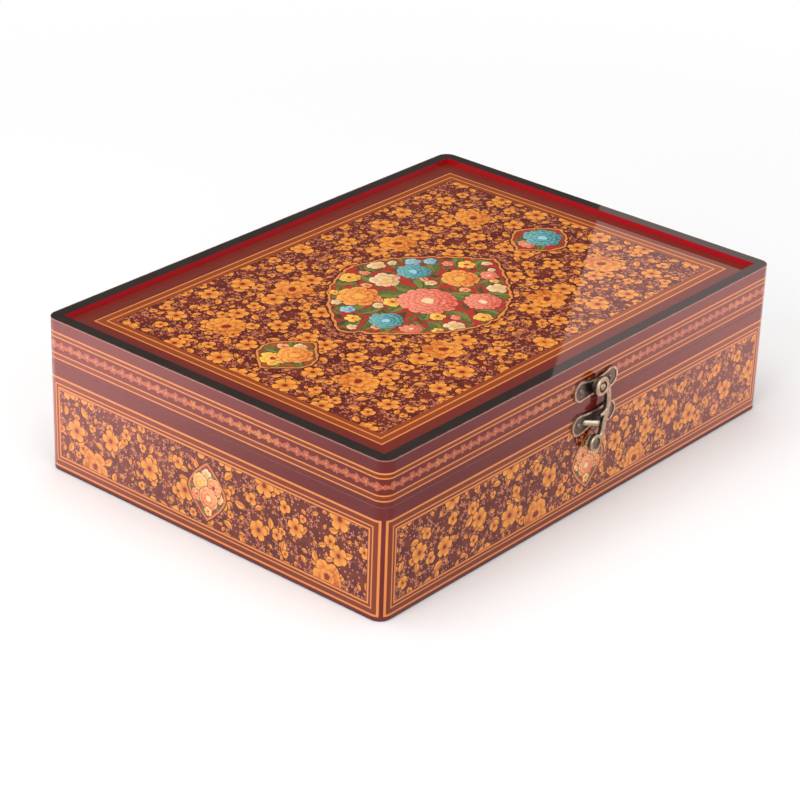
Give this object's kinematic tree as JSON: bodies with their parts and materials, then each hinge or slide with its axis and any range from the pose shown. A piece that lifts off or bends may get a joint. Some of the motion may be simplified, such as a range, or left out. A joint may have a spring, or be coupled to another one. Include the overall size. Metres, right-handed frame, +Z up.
{
  "type": "decoupage box",
  "caption": "Low rectangular keepsake box with rounded corners, covered in printed flower papers, with a recessed hinged lid and a swing-hook latch at the front.",
  "frame": {"origin": "centre of the rectangle that the boards enclose, on the flat underside that the box stands on", "axes": "+X along the front to the right as seen facing the latch, +Y from the latch front to the hinged back, +Z up"},
  "size_m": [0.258, 0.1947, 0.07],
  "materials": {
    "lacquered_board": "black lacquer outside, deep red paint inside and on the recess wall",
    "painted_panel": "deep red paint",
    "printed_paper": "flower print in reds, orange and gold under gloss varnish",
    "latch_metal": "antique bronze, worn bright on the edges",
    "nail_metal": "antique bronze",
    "hinge_metal": "antique bronze",
    "pin_steel": "dull drawn wire"
  },
  "bodies": {
    "base": {"base_front_board": "lacquered_board", "base_back_board": "lacquered_board", "base_left_board": "lacquered_board", "base_right_board": "lacquered_board", "base_front_print": "printed_paper", "base_back_print": "printed_paper", "base_left_print": "printed_paper", "base_right_print": "printed_paper", "base_bottom_panel": "painted_panel", "lower_latch_plate": "latch_metal", "catch_horn": "latch_metal", "lower_latch_nails": "nail_metal", "left_hinge_base_leaf": "hinge_metal", "right_hinge_base_leaf": "hinge_metal", "left_hinge_pin": "pin_steel", "right_hinge_pin": "pin_steel", "hinge_base_nails": "nail_metal"},
    "lid": {"lid_front_board": "lacquered_board", "lid_back_board": "lacquered_board", "lid_left_board": "lacquered_board", "lid_right_board": "lacquered_board", "lid_front_print": "printed_paper", "lid_back_print": "printed_paper", "lid_left_print": "printed_paper", "lid_right_print": "printed_paper", "lid_top_panel": "painted_panel", "lid_top_print": "printed_paper", "upper_latch_plate": "latch_metal", "hook_rivet": "latch_metal", "upper_latch_nails": "nail_metal", "left_hinge_lid_leaf": "hinge_metal", "right_hinge_lid_leaf": "hinge_metal", "hinge_lid_nails": "nail_metal"},
    "hook": {"swing_hook": "latch_metal"}
  },
  "joints": [
    {"name": "lid_hinge", "type": "hinge", "parent": "base", "child": "lid", "pos_m": [0, 0.0947, 0.05], "axis": [-1, 0, 0], "range_deg": [0, 180]},
    {"name": "hook_pivot", "type": "hinge", "parent": "lid", "child": "hook", "pos_m": [0.0012, -0.0965, 0.0568], "axis": [0, -1, 0], "range_deg": [-12, 316]}
  ]
}
